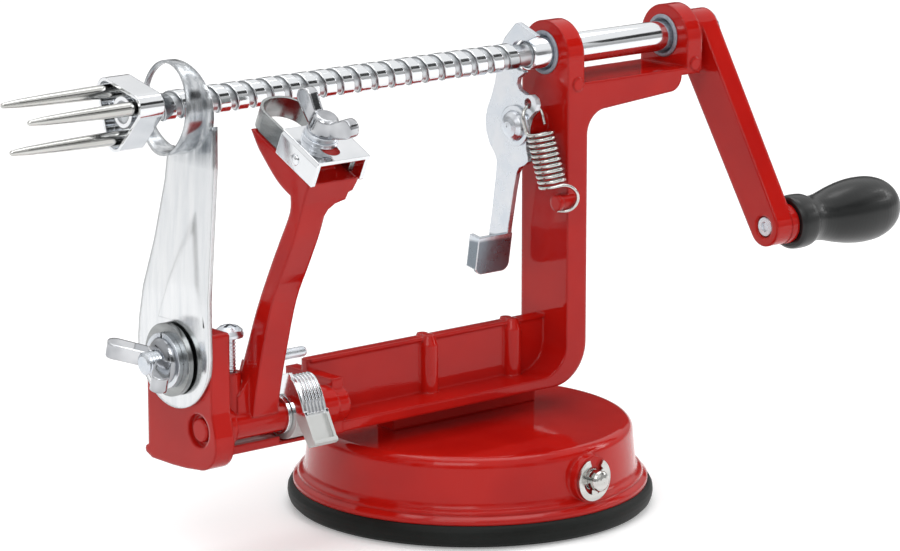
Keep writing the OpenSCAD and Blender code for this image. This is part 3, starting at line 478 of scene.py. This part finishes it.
# %% [markdown]
# ## Feed thread
# The spindle carries a coarse rolled thread that feeds the apple past the blade. Rolling leaves a
# broad round-shouldered crest and a narrow groove. The solid's thread is cut in flat steps, so here
# a grid is wound round the axis: one side of the grid runs along the helix and the other across one
# pitch, where a Float Curve gives the profile. A Screw modifier could sweep the profile too, but here
# the crest also fades out at both ends, as a rolled thread does. The seam between its turns is then
# merged and its two ends are filled, so that it is a closed shell, and plain lathe work makes the rod
# inside it with its smooth ends.

# %% Wind the thread
thread = Shape(
    "feed thread", Start=-111.859 * mm, Pitch=6 * mm, Turns=21, Fade=0.6,
    Root=3.2 * mm, Crest=4.0 * mm, Around=48, Across=34)
sheet = thread.add("GeometryNodeMeshGrid", None, {
    "Size X": 1.0,
    "Size Y": 1.0,
    "Vertices X": thread.size("Around") * thread.size("Turns") + 1,
    "Vertices Y": thread.size("Across")})
spot = thread.add("ShaderNodeSeparateXYZ", None, {0: thread.add("GeometryNodeInputPosition").outputs[0]})
along = Field(thread, spot.outputs[0]) + 0.5
across = Field(thread, spot.outputs[1]) + 0.5
turned = along * thread.size("Turns")
fade = thread.between(turned.at_most(thread.size("Turns") - turned), 0.0, thread.size("Fade"))
profile = thread.add("ShaderNodeFloatCurve", None, {"Value": across})
shoulders = [
    (0.0, 0.0), (0.03, 0.32), (0.07, 0.86), (0.12, 1.0),
    (0.63, 1.0), (0.68, 0.86), (0.72, 0.32), (0.755, 0.0), (1.0, 0.0)]
curve = profile.mapping.curves[0]
curve.points[0].location, curve.points[1].location = shoulders[0], shoulders[-1]
for x, y in shoulders[1:-1]:
    curve.points.new(x, y)
for point in curve.points:
    point.handle_type = "AUTO_CLAMPED"
profile.mapping.update()
height = Field(thread, profile.outputs[0]) * fade
radius = thread.size("Root") + (thread.size("Crest") - thread.size("Root")) * height
angle = turned * math.tau
wound = thread.add("ShaderNodeCombineXYZ", None, {
    0: thread.size("Start") + thread.size("Pitch") * (turned + across),
    1: radius * angle.cosine(),
    2: radius * angle.sine() + thread_axis})
placed = thread.add("GeometryNodeSetPosition", None, {
    "Geometry": sheet.outputs["Mesh"], "Position": wound.outputs[0]})
thread.close(placed.outputs[0], thread_plate.material)
thread_mesh = thread.make("thread", bpy.data.objects.new("start", bpy.data.meshes.new("start")))
print("thread faces:", len(thread_mesh.polygons))

# %% Turn the plain ends


def lathe(sheet, outline, axis_height, steps=64):
    """Adds a turned shape along X to a bmesh; the outline is (x, radius) from left to right, in mm."""
    rings = []
    for x, r in outline:
        ring = []
        for k in range(steps):
            turn_angle = math.tau * k / steps
            y, z = r * mm * math.cos(turn_angle), axis_height + r * mm * math.sin(turn_angle)
            ring.append(sheet.verts.new((x * mm, y, z)))
        rings.append(ring)
    for left, right in zip(rings, rings[1:]):
        for k in range(steps):
            sheet.faces.new((left[k], left[(k + 1) % steps], right[(k + 1) % steps], right[k])).smooth = True
    sheet.faces.new(list(reversed(rings[0])))
    sheet.faces.new(rings[-1])


fork_end = [(-119.4, 2.7), (-119.2, 3.0), (-113.6, 3.0), (-113.5, 3.19)]
crank_end = [(20.5, 3.19), (20.6, 3.9), (21.2, 4.4), (79.4, 4.4)]
seam_gap, sharp_angle = 0.002 * mm, math.radians(50)
rod = bmesh.new()
rod.from_mesh(thread_mesh)
bmesh.ops.remove_doubles(rod, verts=rod.verts, dist=seam_gap)
bmesh.ops.holes_fill(rod, edges=[e for e in rod.edges if e.is_boundary], sides=0)
lathe(rod, fork_end + crank_end, thread_axis)
bmesh.ops.recalc_face_normals(rod, faces=rod.faces)
rod_mesh = bpy.data.meshes.new("spindle_rod_turned")
rod.to_mesh(rod_mesh)
rod.free()
rod_mesh.set_sharp_from_angle(angle=sharp_angle)
rod_mesh.materials.append(thread_plate.material)
spindle_rod = bpy.data.objects.new("spindle_rod_turned", rod_mesh)
bpy.context.scene.collection.objects.link(spindle_rod)
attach(spindle_rod, "spindle")
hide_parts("spindle_rod")
print("rod faces:", len(rod_mesh.polygons))

# %% [markdown]
# ## Latch spring
# A close wound tension spring holds the latch in the thread. The wire leaves the coil in a loop
# through the latch's ear, and in an open side hook round the peg on the post. The solid's wire has
# few sides, so the same path is swept again with a round section. A bevelled curve would do that as
# well, but the nodes also space the rings evenly along the wire.

# %% Lay the wire
spring_turns = 10.139
coil_radius = 3.7
coil_top, coil_low = Vector((20.6, -6.3, 105.4)), Vector((22.8, -9.5, 90.2))
run = (coil_low - coil_top).normalized()
lead = Vector((-1, 0, 0))
lead = (lead - run * lead.dot(run)).normalized()
side = lead.cross(run)


def on_coil(turn):
    turn_angle = math.tau * turn
    centre = coil_top + run * (coil_low - coil_top).length * turn / spring_turns
    return centre + coil_radius * (math.cos(turn_angle) * lead + math.sin(turn_angle) * side)


points_a_turn = 32
coil_steps = round(spring_turns * points_a_turn)
coil = [on_coil(spring_turns * k / coil_steps) for k in range(coil_steps + 1)]
bend, rise = 1.5, 3.0
loop_start = coil_top + coil_radius * lead
loop_middle = loop_start - run * (bend + rise) - side * bend - coil_radius * lead


def on_loop(degrees):
    turn_angle = math.radians(degrees)
    return loop_middle + coil_radius * (math.cos(turn_angle) * lead - math.sin(turn_angle) * run)


loop_turn, loop_tail = 190, 2.2
loop = [on_loop(loop_turn) + run * loop_tail] + [on_loop(d) for d in range(loop_turn, -1, -10)]
for degrees in range(90, 0, -15):
    turn_angle = math.radians(degrees)
    loop.append(loop_start - run * bend + bend * (math.cos(turn_angle) * run - math.sin(turn_angle) * side))
end_angle = math.tau * spring_turns
outward = math.cos(end_angle) * lead + math.sin(end_angle) * side
onward = -math.sin(end_angle) * lead + math.cos(end_angle) * side
hook_drop, hook_lean = 0.95, 0.32
down = (hook_drop * run - hook_lean * outward).normalized()
hook_radius, hook_lead = 4.1, 2
hook_start = coil[-1] + onward * hook_lead
hook_middle = hook_start + down * hook_radius


def on_hook(degrees):
    turn_angle = math.radians(degrees)
    return hook_middle + hook_radius * (-math.cos(turn_angle) * down + math.sin(turn_angle) * onward)


hook_turn, hook_tail = 200, 1.2
hook = [hook_start] + [on_hook(d) for d in range(10, hook_turn + 1, 10)]
last = math.radians(hook_turn)
hook.append(hook[-1] + hook_tail * (math.sin(last) * down + math.cos(last) * onward))
tension_route = loop + coil + hook
print("route points:", len(tension_route))

# %% Sweep the wire
tension_thick, torsion_thick = 1.05 * mm, 0.9 * mm
sweep = Shape("swept wire", Wire=tension_thick, Sides=14, Step=0.25 * mm)
even = sweep.add("GeometryNodeResampleCurve", {"mode": "LENGTH"}, {
    "Curve": sweep.entry.outputs["Geometry"], "Length": sweep.size("Step")})
section = sweep.add("GeometryNodeCurvePrimitiveCircle", None, {
    "Resolution": sweep.size("Sides"), "Radius": sweep.size("Wire") * 0.5})
swept = sweep.add("GeometryNodeCurveToMesh", None, {
    "Curve": even.outputs[0], "Profile Curve": section.outputs[0], "Fill Caps": True})
sweep.close(swept.outputs[0], satin.material)


def wound_wire(name, route, thickness):
    """Sweeps a round wire along a route in mm."""
    path = bpy.data.curves.new("wire_path", "CURVE")
    path.dimensions = "3D"
    spline = path.splines.new("POLY")
    spline.points.add(len(route) - 1)
    for point, place in zip(spline.points, route):
        point.co = (*(place * mm), 1)
    sweep.sizes["Wire"] = thickness
    wire = bpy.data.objects.new(name, sweep.make(name, bpy.data.objects.new("start", path)))
    bpy.context.scene.collection.objects.link(wire)
    return wire


tension_wire = wound_wire("latch_spring_wire", tension_route, tension_thick)
hook_middle * mm
loop_middle * mm
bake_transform(tension_wire)
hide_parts("latch_spring")
print("wire faces:", len(tension_wire.data.polygons))

# %% [markdown]
# ## Lever spring
# A torsion spring hides in the cup of the thumb lever and presses the blade to the apple. One leg sits in
# the lever and the other in the frame's lug. The same sweep makes its wire.

# %% Wind the torsion spring
pin_y, pin_z = -8.9, 39.5
coil_left, coil_right = -71.6, -67.5
wound_radius, wound_turns, first_turn = 4.7, 2.5, -0.25
wound_steps = 80
windings = []
for k in range(wound_steps + 1):
    turn_angle = math.tau * (wound_turns * k / wound_steps + first_turn)
    x = coil_left + (coil_right - coil_left) * k / wound_steps
    y, z = pin_y + wound_radius * math.cos(turn_angle), pin_z + wound_radius * math.sin(turn_angle)
    windings.append(Vector((x, y, z)))
lever_leg = [windings[0] + Vector(step) for step in ((-2.5, -0.8, 0), (-1.1, -0.8, 0), (-0.5, -0.6, 0))]
frame_leg = [windings[-1] + Vector(step) for step in ((0.5, -0.5, 0), (1.0, -0.6, 0), (2.4, -0.6, 0))]
torsion_wire = wound_wire("arm_spring_wire", lever_leg + windings + frame_leg, torsion_thick)
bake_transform(torsion_wire)
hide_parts("arm_spring")
print("torsion wire faces:", len(torsion_wire.data.polygons))

# %% [markdown]
# ## Studio
# The peeler stands on a white sweep under broad soft lights. The lens sees a white room, and the plated
# metal sees one that darkens toward its walls. The sweep glows a little more far away, where the lights
# don't reach. Dark cards stand round the peeler, which only reflections show, so that the chrome has edges
# and the enamel is deep.

# %% Floor


def seen_rays(graph, *kinds):
    """One for the rays of the given kinds, that show the room to the lens, off metal or through glass."""
    ray = graph.add("ShaderNodeLightPath")
    total = Field(graph, ray.outputs[f"Is {kinds[0]} Ray"])
    for kind in kinds[1:]:
        total = total + Field(graph, ray.outputs[f"Is {kind} Ray"])
    return total.at_most(1.0)


floor_size, floor_drop = 8, 0.2 * mm
bpy.ops.mesh.primitive_plane_add(size=floor_size, location=(0, 0, -floor_drop))
floor = bpy.context.object
floor.name = "floor"
floor_finish = Finish("white sweep", Roughness=0.9, Emission_Strength=1.0)
floor_finish.colour((0.9, 0.9, 0.9, 1))
floor_seen = seen_rays(floor_finish, "Camera", "Glossy", "Transmission")
floor_x, floor_y = floor_finish.along(0), floor_finish.along(1)
glow_near, glow_far = 0.5, 2.5
afar = floor_finish.between((floor_x * floor_x + floor_y * floor_y).root(), glow_near, glow_far)
floor_glow = floor_finish.mix(afar, (0.25, 0.25, 0.25), (0.5, 0.5, 0.5))
floor_shown = floor_finish.mix(floor_seen, (0, 0, 0), floor_glow)
floor_finish.feed(floor_finish.surface.inputs["Emission Color"], floor_shown)
floor.data.materials.append(floor_finish.material)
print("floor:", floor_size, "m wide")

# %% World
world = bpy.data.worlds.new("studio")
bpy.context.scene.world = world
world.use_nodes = True
room = Graph(world.node_tree)
sky = world.node_tree.nodes["Background"]
sky.inputs["Color"].default_value = (1, 1, 1, 1)
ray_way = room.add("ShaderNodeSeparateXYZ", None, {0: room.add("ShaderNodeTexCoord").outputs["Generated"]})
wall_dark, wall_light = 0.15, 0.55
dusk = 1.0 - room.between(Field(room, ray_way.outputs[2]), wall_dark, wall_light)
shown = seen_rays(room, "Camera", "Glossy", "Transmission")
light_given, more_shown, wall_shade = 0.6, 0.4, 0.55
on_metal = wall_shade * dusk * seen_rays(room, "Glossy")
room.feed(sky.inputs["Strength"], light_given + more_shown * shown - on_metal)
bpy.context.scene.view_settings.view_transform = "Standard"
print("room:", light_given, "of full light")

# %% Lights and cards


def soft_light(name, place, aim, size, power):
    data = bpy.data.lights.new(name, "AREA")
    data.shape = "RECTANGLE"
    data.size, data.size_y = size
    data.energy = power
    light = bpy.data.objects.new(name, data)
    light.location = place
    light.rotation_euler = (Vector(aim) - Vector(place)).to_track_quat("-Z", "Y").to_euler()
    bpy.context.scene.collection.objects.link(light)


def dark_card(name, place, aim, size, grey=0.02):
    card_finish = Finish(name, Roughness=0.9)
    card_finish.colour((grey, grey, grey, 1))
    bpy.ops.mesh.primitive_plane_add(size=1, location=place)
    card = bpy.context.object
    card.name = name
    card.scale = (*size, 1)
    card.rotation_euler = (Vector(aim) - Vector(place)).to_track_quat("Z", "Y").to_euler()
    card.data.materials.append(card_finish.material)
    card.visible_camera = card.visible_diffuse = card.visible_shadow = False


middle = (0, 0, 0.08)
soft_light("key", (-0.9, -0.7, 1.1), middle, (0.7, 0.7), 5)
soft_light("top", (0.2, 0.2, 1.4), middle, (1.0, 0.8), 6)
soft_light("fill", (1.35, -0.6, 0.85), middle, (0.7, 0.6), 6.5)
dark_card("card_left", (-1.5, -0.35, 0.35), middle, (0.25, 0.9))
dark_card("card_lens", (-1.05, -1.24, 0.34), middle, (1.0, 0.6), 0.16)
dark_card("card_back", (-0.95, 1.15, 0.42), middle, (0.5, 0.25))
dark_card("card_front", (-0.05, -1.45, 0.28), middle, (0.35, 0.6), 0.2)
dark_card("card_far", (1.2, 1.4, 0.45), middle, (1.4, 0.6), 0.08)
dark_card("card_strip", (0.88, -0.84, 0.78), middle, (1.2, 0.42))
